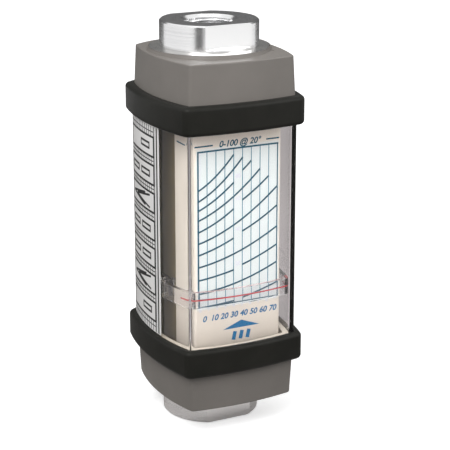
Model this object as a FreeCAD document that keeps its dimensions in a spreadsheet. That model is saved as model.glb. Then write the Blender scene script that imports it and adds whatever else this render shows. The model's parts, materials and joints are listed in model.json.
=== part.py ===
import FreeCAD, Part
import os
import re
import Sketcher

# An in-line variable-area flow meter, 1/2 inch size: a turned casing with a port at each end, a
# spring-loaded piston and metering cone inside it, and round it a guard of two end caps, two rubber
# bands and a clear window, in which a magnetic follower rides up a scale. Flow runs upward, along +Z.
# The origin is the centre of the lower port's face, and the scale faces -Y.

doc = FreeCAD.newDocument("flow_meter")
sheet = doc.addObject("Spreadsheet::Sheet", "Sizes")

SIZES = [
    # Casing and ports
    ("overall_length", "168", "port face to port face"),
    ("casing_radius", "20.2", "outside of the casing and both ports"),
    ("rim_chamfer", "0.6", "edge of each port face"),
    ("flat_distance", "17.45", "axis to wrench flat, half of 1-3/8 inch"),
    ("flat_length", "9.7", "wrench flat, along the port"),
    ("thread_radius", "10.2", "minor radius of the 7/8-14 port thread"),
    ("mouth_chamfer", "1.3", "countersink of the port thread"),
    ("thread_depth", "19", "port face to the end of the thread"),
    ("passage_radius", "8", "flow passage behind each port thread"),
    ("passage_length", "2.5", "straight run of the inlet passage"),
    ("inlet_run", "7", "end of the inlet thread to the piston bore"),
    ("bore_radius", "15", "piston bore"),
    ("bore_seat", "2.2", "width of the ledge that carries the inlet spider"),
    ("outlet_length", "18", "outlet port, from its joint with the casing"),
    ("socket_depth", "19", "threaded socket for the outlet port"),
    ("socket_step", "1.5", "socket, outside the piston bore"),
    ("thread_clearance", "0.05", "radial play of screwed and seated pieces"),
    ("outlet_cup_wall", "3.45", "wall round the outlet port's inner end"),
    ("outlet_cup_depth", "12", "hollow in the outlet port's inner end"),
    ("seal_groove_depth", "1.7", "groove of the outlet port's seal"),
    ("seal_groove_width", "2.2", "width of that groove"),
    ("seal_groove_offset", "1.8", "joint to that groove"),
    ("port_seal_section", "0.83", "section radius of the outlet port's seal"),
    # Spiders, cone and nut
    ("spider_thickness", "3", "inlet spider"),
    ("outlet_spider_thickness", "2", "outlet spider"),
    ("spider_hole_radius", "3.2", "flow hole in a spider"),
    ("spider_hole_circle", "9", "radius of the circle of flow holes"),
    ("spider_holes", "6", "flow holes in a spider"),
    ("stud_radius", "2", "stud at each end of the metering cone"),
    ("stud_clearance", "0.05", "radial play of a stud in its hub"),
    ("stud_length", "6", "upper stud, from the outlet spider's underside"),
    ("cone_radius", "7.5", "metering cone at its foot"),
    ("cone_tip_radius", "3", "metering cone at its top"),
    ("cone_foot", "1.5", "straight foot of the metering cone"),
    ("nut_corner_radius", "4.04", "M4 nut across its corners, halved"),
    ("nut_thickness", "3.2", "M4 nut"),
    # Piston, magnet and spring
    ("piston_clearance", "0.05", "radial running play of the piston"),
    ("piston_rest_gap", "0.2", "inlet spider to piston, with no flow"),
    ("piston_skirt", "27.8", "piston's foot to the magnet's shoulder"),
    ("piston_length", "36.8", "piston"),
    ("piston_floor", "2.8", "floor of the piston"),
    ("floor_ledge", "2.6", "ledge round the hole in that floor"),
    ("piston_wall", "1.3", "wall of the piston's neck"),
    ("plate_clearance", "0.1", "orifice plate to the piston's inside"),
    ("plate_thickness", "1", "orifice plate"),
    ("orifice_gap", "0.4", "sharp edge to the metering cone's foot"),
    ("orifice_bevel", "0.7", "bevel behind the sharp edge"),
    ("magnet_gap", "0.3", "ring magnet to the piston bore"),
    ("magnet_section", "1.75", "ring magnet, from its inside to its outside"),
    ("magnet_length", "6", "ring magnet"),
    ("magnet_clearance", "0.05", "radial play of each magnet in its seat"),
    ("retainer_thickness", "1.2", "ring that holds the magnet down"),
    ("spring_setback", "1.2", "middle of the spring's wire to the piston's inside"),
    ("spring_wire_radius", "0.55", "return spring's wire"),
    ("spring_turns", "9", "turns of the return spring"),
    ("spring_play", "0.05", "gap at each end of the return spring"),
    # Plan outline shared by caps, bands, window, label and follower: four bowed sides, sharp corners
    ("window_across", "3.8", "casing to the window's corners, across"),
    ("window_forward", "10.4", "casing to the window's front corners"),
    ("window_behind", "2.9", "casing to the window's back corners"),
    ("side_crown", "4", "bow of each side"),
    ("front_crown", "2.4", "bow of the front"),
    ("back_crown", "7.8", "bow of the back"),
    # End caps
    ("port_standout", "12.2", "port face to cap face"),
    ("cap_height", "21.8", "cap face to window joint"),
    ("cap_joint_inset", "0.3", "cap at the joint, inside the window's outline"),
    ("cap_taper", "1.1", "narrowing of each side of the cap, joint to cap face"),
    ("cap_corner_radius", "2", "cap's upright corners"),
    ("cap_edge_radius", "0.5", "edge round the cap face"),
    ("spigot_height", "5", "cap's spigot inside the window"),
    ("spigot_clearance", "0.15", "spigot to window"),
    ("core_inset", "4", "cap's hollow, inside the window's outline"),
    ("core_floor", "3.8", "end wall of the cap"),
    ("hub_wall", "4.2", "hub, outside the casing"),
    ("hub_height", "17.8", "cap face to the top of hub and ribs"),
    ("cap_bore_clearance", "0.06", "radial running play of the cap on the casing"),
    ("boss_height", "1.3", "low boss round the retaining ring, proud of the cap face"),
    ("boss_wall", "0.3", "that boss at its top, outside the ring's recess"),
    ("boss_draft", "0.5", "that boss, wider at its foot"),
    ("rib_spacing", "14", "rib, from the middle plane"),
    ("rib_thickness", "2", "rib between hub and front wall"),
    ("vent_radius", "0.6", "vent in the cap face"),
    ("vent_depth", "2", "vent in the cap face"),
    ("vent_gap", "1.7", "middle of the vent to the ring's recess"),
    ("vent_angle", "38.3", "vent, forward of straight across, in degrees"),
    ("body_seal_height", "12", "cap face to the middle of the seal on the casing"),
    ("body_groove_depth", "2", "that seal's groove, outside the casing"),
    ("body_groove_width", "2.4", "width of that seal's groove"),
    ("body_seal_play", "0.05", "seal to casing and to its groove's bottom"),
    # Retaining rings
    ("ring_width", "4.1", "retaining ring, outside the casing"),
    ("ring_rise", "1.7", "retaining ring's inner edge, proud of the cap face"),
    ("ring_edge_rise", "1.4", "retaining ring's outer edge, proud of the cap face"),
    ("ring_lip", "0.7", "flat lip at the retaining ring's inner edge"),
    ("ring_groove_depth", "0.6", "groove in the casing"),
    ("ring_play", "0.05", "retaining ring in its groove"),
    ("ring_gap", "2", "opening of the retaining ring"),
    ("recess_depth", "0.7", "recess in the cap face for the ring"),
    ("recess_clearance", "0.2", "ring to recess wall"),
    ("guard_play", "0.1", "axial play of the guard under each ring"),
    # Rubber bands
    ("band_height", "11.8", "rubber band"),
    ("band_overlap", "5.8", "rubber band beyond the joint, over the window"),
    ("band_thickness", "2.4", "rubber band over the window"),
    ("band_corner_radius", "3.5", "band's upright corners"),
    ("band_edge_radius", "1.8", "band's outer edges"),
    ("band_fit", "0.05", "band to what it grips"),
    # Window, gaskets and label
    ("window_wall", "2", "clear window"),
    ("window_corner_radius", "2.5", "window's outer corners"),
    ("window_inner_corner", "1", "window's inner corners"),
    ("gasket_thickness", "0.6", "gasket at each end of the window"),
    ("gasket_inset", "0.35", "gasket, inside the window's outline"),
    ("gasket_width", "1.45", "gasket"),
    ("label_thickness", "0.25", "label round the back of the window"),
    ("label_fit", "0.02", "label to window"),
    ("label_front", "10.7", "label's front edges, forward of the axis"),
    ("label_margin", "0.4", "rubber band to label"),
    # Scale
    ("scale_standoff", "4.8", "casing to the face of the scale card"),
    ("scale_side_gap", "4.45", "scale card's sides to the window's corners"),
    ("scale_wing_gap", "1.1", "casing to the ends of the scale's wings"),
    ("card_thickness", "0.25", "scale card"),
    ("card_fit", "0.02", "scale card to its support"),
    ("card_margin", "1", "scale card, short of its support's ends"),
    ("support_thickness", "0.8", "scale support"),
    ("fold_radius", "1.2", "scale card's folds"),
    # Follower
    ("follower_height", "6.7", "follower"),
    ("follower_clearance", "0.4", "follower to window"),
    ("follower_wall", "1.5", "follower's front wall"),
    ("follower_corner_radius", "1.5", "follower's front corners"),
    ("follower_web", "4.6", "webs between front wall and ring, front to rear"),
    ("web_gap", "1", "ends of the scale's wings to the webs"),
    ("follower_bore_clearance", "0.3", "follower's ring to casing"),
    ("follower_ring_wall", "1.5", "follower's ring"),
    ("wing_clearance", "0.4", "follower to the scale's wings"),
    ("line_height", "3.5", "follower's foot to the indicator line's middle"),
    ("line_width", "0.6", "indicator line"),
    ("line_depth", "0.45", "groove of the indicator line"),
    ("line_play", "0.02", "indicator line in its groove"),
    ("line_end", "22.5", "rear ends of the indicator line, forward of the axis"),
    ("rod_magnet_radius", "1.15", "rod magnet in the follower"),
    ("rod_magnet_length", "5", "rod magnet in the follower"),
    ("rod_magnet_setback", "2.9", "rod magnet, in from the follower's sides"),
]

for row, (alias, text, note) in enumerate(SIZES, start=1):
    sheet.set("A%d" % row, note)
    sheet.set("B%d" % row, text)
    sheet.setAlias("B%d" % row, alias)
doc.recompute()

ALIASES = {alias for alias, text, note in SIZES}

# Across the axis
OUTLINE_HALF_WIDTH = "(casing_radius + window_across)"
OUTLINE_FRONT = "(casing_radius + window_forward)"
OUTLINE_BACK = "(casing_radius + window_behind)"
MOUTH_RADIUS = "(thread_radius + mouth_chamfer)"
GROOVE_RADIUS = "(casing_radius - ring_groove_depth)"
SOCKET_RADIUS = "(bore_radius + socket_step)"
SCREW_RADIUS = "(bore_radius + socket_step - thread_clearance)"
NECK_RADIUS = "(bore_radius - magnet_gap - magnet_section - magnet_clearance)"
PISTON_INSIDE = "(%s - piston_wall)" % NECK_RADIUS
FLOOR_HOLE = "(%s - floor_ledge)" % PISTON_INSIDE
RING_RADIUS = "(casing_radius + ring_width)"
SEAL_GROOVE_RADIUS = "(casing_radius + body_groove_depth)"
FOLLOWER_INSET = "(window_wall + follower_clearance)"
FOLLOWER_BORE = "(casing_radius + follower_bore_clearance)"
SCALE_HALF_WIDTH = "(%s - scale_side_gap)" % OUTLINE_HALF_WIDTH
SCALE_FRONT = "(casing_radius + scale_standoff)"
SCALE_INSIDE = "(%s - card_thickness - card_fit - support_thickness)" % SCALE_HALF_WIDTH
WING_END = "sqrt((casing_radius + scale_wing_gap)^2 - %s^2)" % SCALE_INSIDE
WEB_FRONT = "(%s - web_gap)" % WING_END
WEB_REAR = "(%s - web_gap - follower_web)" % WING_END
ROD_MAGNET_ACROSS = "(%s - %s + side_crown - rod_magnet_setback)" % (OUTLINE_HALF_WIDTH, FOLLOWER_INSET)

# Along the axis. The upper half of the guard is the lower half turned over about the Y axis.
BORE_START = "(thread_depth + inlet_run)"
SPIDER_TOP = "(%s + spider_thickness)" % BORE_START
PISTON_FOOT = "(%s + piston_rest_gap)" % SPIDER_TOP
PLATE_FOOT = "(%s + piston_floor)" % PISTON_FOOT
MAGNET_FOOT = "(%s + piston_skirt)" % PISTON_FOOT
LINE_MIDDLE = "(%s + magnet_length / 2)" % MAGNET_FOOT
FOLLOWER_FOOT = "(%s - line_height)" % LINE_MIDDLE
CASING_END = "(overall_length - outlet_length)"
BORE_END = "(%s - socket_depth)" % CASING_END
OUTLET_SPIDER_TOP = "(%s + outlet_spider_thickness)" % BORE_END
JOINT = "(port_standout + cap_height)"
BAND_END = "(%s + band_overlap)" % JOINT
BAND_START = "(%s - band_height)" % BAND_END
RIB_TOP = "(port_standout + hub_height)"
RING_LOW = "(port_standout - ring_rise)"
RING_HIGH = "(port_standout + recess_depth - guard_play)"
CAP_TAPER = "-atan(cap_taper / cap_height)"

# Closer than this, two places are the same
NEAR = 1e-3


def sized(text):
    return re.sub(r"[a-z_]+", lambda word: ("Sizes." if word.group() in ALIASES else "") + word.group(), text)


def number(text):
    return float(sheet.evalExpression(sized(text)))


def from_top(level):
    return "(overall_length - %s)" % level


# Sketches


def new_sketch(body, name, role, height):
    plane = [feature for feature in body.Origin.OriginFeatures if feature.Role == role][0]
    sketch = body.newObject("Sketcher::SketchObject", name)
    sketch.AttachmentSupport = [(plane, "")]
    sketch.MapMode = "FlatFace"
    sketch.setExpression("AttachmentOffset.Base.z", sized(height))
    return sketch


def dimension(sketch, kind, where, text):
    index = sketch.addConstraint(Sketcher.Constraint(kind, *where, number(text)))
    sketch.renameConstraint(index, "size%d" % index)
    sketch.setExpression("Constraints.size%d" % index, sized(text))


def pin_along(sketch, axis, point, text):
    # The sketcher numbers its own X axis -1 and its Y axis -2, and its origin is point 1 of -1
    zero_line = -2 if axis == "X" else -1
    origin = (-1, 1)
    place = number(text)
    if abs(place) < NEAR:
        sketch.addConstraint(Sketcher.Constraint("PointOnObject", *point, zero_line))
    elif place > 0:
        dimension(sketch, "Distance" + axis, origin + point, text)
    else:
        dimension(sketch, "Distance" + axis, point + origin, "-(%s)" % text)


def pin(sketch, point, x, y):
    pin_along(sketch, "X", point, x)
    pin_along(sketch, "Y", point, y)


def draw_polygon(sketch, corners):
    places = [FreeCAD.Vector(number(x), number(y), 0) for x, y in corners]
    first = sketch.GeometryCount
    for start, end in zip(places, places[1:] + places[:1]):
        sketch.addGeometry(Part.LineSegment(start, end), False)
    for index in range(len(corners)):
        following = (index + 1) % len(corners)
        sketch.addConstraint(Sketcher.Constraint("Coincident", first + index, 2, first + following, 1))
    for index, (x, y) in enumerate(corners):
        pin(sketch, (first + index, 1), x, y)


def draw_circle(sketch, radius, x="0", y="0"):
    centre = FreeCAD.Vector(number(x), number(y), 0)
    index = sketch.addGeometry(Part.Circle(centre, FreeCAD.Vector(0, 0, 1), number(radius)), False)
    pin(sketch, (index, 3), x, y)
    dimension(sketch, "Radius", (index,), radius)


def rectangle(left, right, front, back):
    return [(left, front), (right, front), (right, back), (left, back)]


# The bowed plan outline. Each side is an arc through two corners, bowed by its crown, and an inset
# moves all four corners in, so that outlines with different insets run side by side.


def bow_radius(half_chord, crown):
    return "((%s)^2 + %s^2) / (2 * %s)" % (half_chord, crown, crown)


def outline_sides(inset):
    half_width = "(%s - (%s))" % (OUTLINE_HALF_WIDTH, inset)
    front = "(%s - (%s))" % (OUTLINE_FRONT, inset)
    back = "(%s - (%s))" % (OUTLINE_BACK, inset)
    half_depth = "((%s + %s) / 2)" % (front, back)
    middle = "((%s - %s) / 2)" % (back, front)
    front_radius = bow_radius(half_width, "front_crown")
    side_radius = bow_radius(half_depth, "side_crown")
    back_radius = bow_radius(half_width, "back_crown")
    side_centre = "%s + side_crown - %s" % (half_width, side_radius)
    corners = {
        "front left": ("-" + half_width, "-" + front),
        "front right": (half_width, "-" + front),
        "back right": (half_width, back),
        "back left": ("-" + half_width, back),
    }
    arcs = {
        "front": ("0", "-%s - front_crown + %s" % (front, front_radius), front_radius),
        "right": (side_centre, middle, side_radius),
        "back": ("0", "%s + back_crown - %s" % (back, back_radius), back_radius),
        "left": ("-(%s)" % side_centre, middle, side_radius),
    }
    return corners, arcs


def point_on_side(arc, sign, level):
    centre_x, centre_y, radius = (number(text) for text in arc)
    y = number(level)
    x = centre_x + sign * (radius ** 2 - (y - centre_y) ** 2) ** 0.5
    return FreeCAD.Vector(x, y, 0)


def draw_arc(sketch, arc, start, end):
    centre_x, centre_y, radius = arc
    centre = FreeCAD.Vector(number(centre_x), number(centre_y), 0)
    outward = (start + end) * 0.5 - centre
    middle = centre + outward.normalize() * number(radius)
    index = sketch.addGeometry(Part.Arc(start, middle, end), False)
    pin(sketch, (index, 3), centre_x, centre_y)
    dimension(sketch, "Radius", (index,), radius)
    return (index, 1), (index, 2)


def join(sketch, first, second):
    sketch.addConstraint(Sketcher.Constraint("Coincident", *first, *second))


def corner_places(corners):
    return {name: FreeCAD.Vector(number(x), number(y), 0) for name, (x, y) in corners.items()}


def draw_outline(sketch, inset):
    corners, arcs = outline_sides(inset)
    places = corner_places(corners)
    order = [
        ("front", "front left", "front right"),
        ("right", "front right", "back right"),
        ("back", "back right", "back left"),
        ("left", "back left", "front left"),
    ]
    ends = [draw_arc(sketch, arcs[side], places[start], places[end]) for side, start, end in order]
    for index in range(4):
        join(sketch, ends[index][1], ends[(index + 1) % 4][0])


def draw_open_outline(sketch, inset, cut, keep):
    corners, arcs = outline_sides(inset)
    places = corner_places(corners)
    left_cut = point_on_side(arcs["left"], -1, cut)
    right_cut = point_on_side(arcs["right"], 1, cut)
    if keep == "front":
        first = draw_arc(sketch, arcs["left"], left_cut, places["front left"])
        second = draw_arc(sketch, arcs["front"], places["front left"], places["front right"])
        third = draw_arc(sketch, arcs["right"], places["front right"], right_cut)
    else:
        first = draw_arc(sketch, arcs["right"], right_cut, places["back right"])
        second = draw_arc(sketch, arcs["back"], places["back right"], places["back left"])
        third = draw_arc(sketch, arcs["left"], places["back left"], left_cut)
    join(sketch, first[1], second[0])
    join(sketch, second[1], third[0])
    return first[0], third[1], (left_cut, right_cut) if keep == "front" else (right_cut, left_cut)


def draw_line(sketch, start, end, start_place, end_place):
    index = sketch.addGeometry(Part.LineSegment(start_place, end_place), False)
    join(sketch, (index, 1), start)
    join(sketch, (index, 2), end)


def draw_cut_outline(sketch, inset, cut, keep="front"):
    start, end, places = draw_open_outline(sketch, inset, cut, keep)
    draw_line(sketch, end, start, places[1], places[0])
    pin_along(sketch, "Y", start, cut)
    pin_along(sketch, "Y", end, cut)


def draw_outline_band(sketch, outer_inset, inner_inset, cut, keep="front"):
    outer_start, outer_end, outer_places = draw_open_outline(sketch, outer_inset, cut, keep)
    inner_start, inner_end, inner_places = draw_open_outline(sketch, inner_inset, cut, keep)
    draw_line(sketch, outer_start, inner_start, outer_places[0], inner_places[0])
    draw_line(sketch, outer_end, inner_end, outer_places[1], inner_places[1])
    for point in (outer_start, outer_end, inner_start, inner_end):
        pin_along(sketch, "Y", point, cut)


# Features. Every cut is checked to have taken something away.


def new_body(name):
    body = doc.addObject("PartDesign::Body", name)
    body.Label = name
    return body


def level_sketch(body, name, height):
    return new_sketch(body, name, "XY_Plane", height)


def pad(body, sketch, length, down=False, taper=None):
    feature = body.newObject("PartDesign::Pad", sketch.Name + "_pad")
    feature.Profile = sketch
    feature.Reversed = down
    feature.setExpression("Length", sized(length))
    if taper:
        feature.setExpression("TaperAngle", sized(taper))
    doc.recompute()
    return feature


def pocket(body, sketch, depth, down=False, taper=None):
    before = body.Shape.Volume
    feature = body.newObject("PartDesign::Pocket", sketch.Name + "_pocket")
    feature.Profile = sketch
    feature.Reversed = not down
    feature.setExpression("Length", sized(depth))
    if taper:
        feature.setExpression("TaperAngle", sized(taper))
    doc.recompute()
    require_cut(body, feature, before)
    return feature


def require_cut(body, feature, before):
    if not body.Shape.Volume < before - 1e-6:
        raise RuntimeError("%s cuts nothing from %s" % (feature.Name, body.Label))


def revolve(body, name, corners):
    sketch = new_sketch(body, name, "XZ_Plane", "0")
    draw_polygon(sketch, corners)
    feature = body.newObject("PartDesign::Revolution", name + "_turned")
    feature.Profile = sketch
    feature.ReferenceAxis = (sketch, ["V_Axis"])
    feature.Angle = 360
    doc.recompute()
    return feature


def turn_groove(body, name, corners):
    before = body.Shape.Volume
    sketch = new_sketch(body, name, "XZ_Plane", "0")
    draw_polygon(sketch, corners)
    feature = body.newObject("PartDesign::Groove", name + "_cut")
    feature.Profile = sketch
    feature.ReferenceAxis = (sketch, ["V_Axis"])
    feature.Angle = 360
    doc.recompute()
    require_cut(body, feature, before)


def round_edges(body, name, radius, chosen):
    base = body.Tip
    edges = ["Edge%d" % (index + 1) for index, edge in enumerate(base.Shape.Edges) if chosen(edge)]
    if not edges:
        raise RuntimeError("%s finds no edge on %s" % (name, body.Label))
    feature = body.newObject("PartDesign::Fillet", name)
    feature.Base = (base, edges)
    feature.setExpression("Radius", sized(radius))
    doc.recompute()


def upright(edge):
    start, end = edge.Vertexes[0].Point, edge.Vertexes[-1].Point
    return abs(start.z - end.z) > NEAR


def at_level(height):
    level = number(height)
    return lambda edge: all(abs(vertex.Z - level) < NEAR for vertex in edge.Vertexes)


def corners_of(inset):
    reach = number("%s - (%s)" % (OUTLINE_HALF_WIDTH, inset))
    return lambda edge: upright(edge) and abs(abs(edge.Vertexes[0].X) - reach) < NEAR


def on_plane(y):
    place = number(y)
    return lambda edge: upright(edge) and abs(edge.Vertexes[0].Y - place) < NEAR


def turn_over(body):
    body.Placement = FreeCAD.Placement(
        FreeCAD.Vector(0, 0, number("overall_length")), FreeCAD.Rotation(FreeCAD.Vector(0, 1, 0), 180)
    )
    body.setExpression("Placement.Base.z", sized("overall_length"))
    doc.recompute()


# Casing and ports


def cut_wrench_flats(body, name, foot):
    sketch = level_sketch(body, name, foot)
    reach = "(2 * casing_radius)"
    draw_polygon(sketch, rectangle("-" + reach, reach, "flat_distance", reach))
    draw_polygon(sketch, rectangle("-" + reach, reach, "-" + reach, "-flat_distance"))
    pocket(body, sketch, "flat_length")


def make_casing():
    body = new_body("casing")
    revolve(body, "casing_profile", [
        (MOUTH_RADIUS, "0"),
        ("casing_radius - rim_chamfer", "0"),
        ("casing_radius", "rim_chamfer"),
        ("casing_radius", RING_LOW + " - ring_play"),
        (GROOVE_RADIUS, RING_LOW + " - ring_play"),
        (GROOVE_RADIUS, RING_HIGH + " + ring_play"),
        ("casing_radius", RING_HIGH + " + ring_play"),
        ("casing_radius", CASING_END),
        (SOCKET_RADIUS, CASING_END),
        (SOCKET_RADIUS, BORE_END),
        ("bore_radius", BORE_END),
        ("bore_radius", BORE_START),
        ("bore_radius - bore_seat", BORE_START),
        ("passage_radius", "thread_depth + passage_length"),
        ("passage_radius", "thread_depth"),
        ("thread_radius", "thread_depth"),
        ("thread_radius", "mouth_chamfer"),
    ])
    cut_wrench_flats(body, "casing_flats", "0")


def make_outlet_port():
    body = new_body("outlet_port")
    cup_radius = SCREW_RADIUS + " - outlet_cup_wall"
    cup_top = OUTLET_SPIDER_TOP + " + outlet_cup_depth"
    seal_floor = SCREW_RADIUS + " - seal_groove_depth"
    seal_high = CASING_END + " - seal_groove_offset"
    seal_low = seal_high + " - seal_groove_width"
    revolve(body, "outlet_port_profile", [
        (cup_radius, OUTLET_SPIDER_TOP),
        (SCREW_RADIUS, OUTLET_SPIDER_TOP),
        (SCREW_RADIUS, seal_low),
        (seal_floor, seal_low),
        (seal_floor, seal_high),
        (SCREW_RADIUS, seal_high),
        (SCREW_RADIUS, CASING_END),
        ("casing_radius", CASING_END),
        ("casing_radius", from_top(RING_HIGH) + " - ring_play"),
        (GROOVE_RADIUS, from_top(RING_HIGH) + " - ring_play"),
        (GROOVE_RADIUS, from_top(RING_LOW) + " + ring_play"),
        ("casing_radius", from_top(RING_LOW) + " + ring_play"),
        ("casing_radius", "overall_length - rim_chamfer"),
        ("casing_radius - rim_chamfer", "overall_length"),
        (MOUTH_RADIUS, "overall_length"),
        ("thread_radius", "overall_length - mouth_chamfer"),
        ("thread_radius", "overall_length - thread_depth"),
        ("passage_radius", "overall_length - thread_depth"),
        ("passage_radius", cup_top),
        (cup_radius, cup_top),
    ])
    cut_wrench_flats(body, "outlet_port_flats", "overall_length - flat_length")


def make_torus(name, radius, section, height):
    ring = doc.addObject("Part::Torus", name)
    ring.Label = name
    ring.setExpression("Radius1", sized(radius))
    ring.setExpression("Radius2", sized(section))
    ring.setExpression("Placement.Base.z", sized(height))


def make_port_seal():
    middle = "(%s - seal_groove_depth + %s) / 2" % (SCREW_RADIUS, SOCKET_RADIUS)
    height = CASING_END + " - seal_groove_offset - seal_groove_width / 2"
    make_torus("port_seal", middle, "port_seal_section", height)


# Spiders, metering cone and its nut


def make_spider(name, radius, foot, thickness):
    body = new_body(name)
    disc = level_sketch(body, name + "_disc", foot)
    draw_circle(disc, radius)
    draw_circle(disc, "stud_radius + stud_clearance")
    pad(body, disc, thickness)
    hole = level_sketch(body, name + "_hole", foot)
    draw_circle(hole, "spider_hole_radius", "spider_hole_circle")
    first = pocket(body, hole, thickness)
    pattern = body.newObject("PartDesign::PolarPattern", name + "_holes")
    pattern.Originals = [first]
    pattern.Axis = (hole, ["N_Axis"])
    pattern.Angle = 360
    pattern.setExpression("Occurrences", sized("spider_holes"))
    body.Tip = pattern
    doc.recompute()


def make_metering_cone():
    body = new_body("metering_cone")
    revolve(body, "metering_cone_profile", [
        ("0", BORE_START),
        ("stud_radius", BORE_START),
        ("stud_radius", SPIDER_TOP),
        ("cone_radius", SPIDER_TOP),
        ("cone_radius", SPIDER_TOP + " + cone_foot"),
        ("cone_tip_radius", BORE_END),
        ("stud_radius", BORE_END),
        ("stud_radius", BORE_END + " + stud_length"),
        ("0", BORE_END + " + stud_length"),
    ])


def make_cone_nut():
    hexagon = doc.addObject("Part::Prism", "nut_hexagon")
    hexagon.Polygon = 6
    hexagon.setExpression("Circumradius", sized("nut_corner_radius"))
    hexagon.setExpression("Height", sized("nut_thickness"))
    hexagon.setExpression("Placement.Base.z", sized(OUTLET_SPIDER_TOP))
    hole = doc.addObject("Part::Cylinder", "nut_hole")
    hole.setExpression("Radius", sized("stud_radius + stud_clearance"))
    hole.setExpression("Height", sized("nut_thickness"))
    hole.setExpression("Placement.Base.z", sized(OUTLET_SPIDER_TOP))
    nut = doc.addObject("Part::Cut", "cone_nut")
    nut.Label = "cone_nut"
    nut.Base = hexagon
    nut.Tool = hole


# Piston, orifice plate, magnet and spring


def make_piston():
    body = new_body("piston")
    revolve(body, "piston_profile", [
        (FLOOR_HOLE, PISTON_FOOT),
        ("bore_radius - piston_clearance", PISTON_FOOT),
        ("bore_radius - piston_clearance", MAGNET_FOOT),
        (NECK_RADIUS, MAGNET_FOOT),
        (NECK_RADIUS, PISTON_FOOT + " + piston_length"),
        (PISTON_INSIDE, PISTON_FOOT + " + piston_length"),
        (PISTON_INSIDE, PLATE_FOOT),
        (FLOOR_HOLE, PLATE_FOOT),
    ])


def make_orifice_plate():
    body = new_body("orifice_plate")
    edge = "cone_radius + orifice_gap"
    rim = PISTON_INSIDE + " - plate_clearance"
    revolve(body, "orifice_plate_profile", [
        (edge, PLATE_FOOT),
        (rim, PLATE_FOOT),
        (rim, PLATE_FOOT + " + plate_thickness"),
        (edge + " + orifice_bevel", PLATE_FOOT + " + plate_thickness"),
    ])


def make_ring(name, inner, outer, foot, height):
    body = new_body(name)
    sketch = level_sketch(body, name + "_outline", foot)
    draw_circle(sketch, outer)
    draw_circle(sketch, inner)
    pad(body, sketch, height)


def make_magnet():
    inner = NECK_RADIUS + " + magnet_clearance"
    outer = "bore_radius - magnet_gap"
    make_ring("transfer_magnet", inner, outer, MAGNET_FOOT, "magnet_length")
    top = MAGNET_FOOT + " + magnet_length"
    make_ring("magnet_retainer", inner, outer, top, "retainer_thickness")


def make_return_spring():
    lift = "(spring_play + spring_wire_radius)"
    foot = "(%s + plate_thickness + %s)" % (PLATE_FOOT, lift)
    height = "(%s - %s - %s)" % (BORE_END, lift, foot)
    radius = PISTON_INSIDE + " - spring_setback"
    coil = doc.addObject("Part::Helix", "spring_path")
    coil.setExpression("Radius", sized(radius))
    coil.setExpression("Height", sized(height))
    coil.setExpression("Pitch", sized("%s / spring_turns" % height))
    coil.setExpression("Placement.Base.z", sized(foot))
    wire = doc.addObject("Part::Circle", "spring_wire")
    wire.setExpression("Radius", sized("spring_wire_radius"))
    wire.Placement = FreeCAD.Placement(FreeCAD.Vector(), FreeCAD.Rotation(FreeCAD.Vector(1, 0, 0), 90))
    wire.setExpression("Placement.Base.x", sized(radius))
    wire.setExpression("Placement.Base.z", sized(foot))
    doc.recompute()
    spring = doc.addObject("Part::Sweep", "return_spring")
    spring.Label = "return_spring"
    spring.Sections = [wire]
    spring.Spine = (coil, [])
    spring.Solid = True
    spring.Frenet = True


# Guard: retaining rings, end caps, seals, bands, window and gaskets


def make_retaining_ring(name):
    body = new_body(name)
    inner = GROOVE_RADIUS + " + ring_play"
    revolve(body, name + "_profile", [
        (inner, RING_HIGH),
        (RING_RADIUS, RING_HIGH),
        (RING_RADIUS, "port_standout - ring_edge_rise"),
        ("casing_radius + ring_lip", RING_LOW),
        (inner, RING_LOW),
    ])
    opening = level_sketch(body, name + "_opening", RING_LOW)
    draw_polygon(opening, rectangle("-ring_gap / 2", "ring_gap / 2", "0", "2 * " + RING_RADIUS))
    pocket(body, opening, "ring_rise + recess_depth")
    return body


def make_end_cap(name):
    body = new_body(name)
    joint = level_sketch(body, name + "_joint", JOINT)
    draw_outline(joint, "cap_joint_inset")
    pad(body, joint, "cap_height", down=True, taper=CAP_TAPER)
    round_edges(body, name + "_corners", "cap_corner_radius", upright)
    round_edges(body, name + "_edge", "cap_edge_radius", at_level("port_standout"))
    spigot = level_sketch(body, name + "_spigot", JOINT)
    draw_outline(spigot, "window_wall + spigot_clearance")
    pad(body, spigot, "spigot_height")
    core = level_sketch(body, name + "_core", "port_standout + core_floor")
    draw_outline(core, "core_inset")
    pocket(body, core, "cap_height + spigot_height")
    add_hub_and_ribs(body, name)
    bore = level_sketch(body, name + "_bore", "0")
    draw_circle(bore, "casing_radius + cap_bore_clearance")
    pocket(body, bore, "overall_length")
    recess_radius = "(%s + recess_clearance)" % RING_RADIUS
    boss_top = "port_standout - boss_height"
    boss_foot = "port_standout + core_floor / 2"
    boss_radius = recess_radius + " + boss_wall"
    revolve(body, name + "_boss", [
        (recess_radius, boss_top),
        (boss_radius, boss_top),
        (boss_radius + " + boss_draft", "port_standout"),
        (boss_radius + " + boss_draft", boss_foot),
        (recess_radius, boss_foot),
    ])
    recess = level_sketch(body, name + "_recess", "0")
    draw_circle(recess, recess_radius)
    pocket(body, recess, "port_standout + recess_depth")
    cut_seal_groove(body, name)
    vent = level_sketch(body, name + "_vent", "port_standout - vent_depth")
    across = "-(%s + vent_gap) * cos(vent_angle)" % recess_radius
    forward = "-(%s + vent_gap) * sin(vent_angle)" % recess_radius
    draw_circle(vent, "vent_radius", across, forward)
    pocket(body, vent, "2 * vent_depth")
    return body


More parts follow.
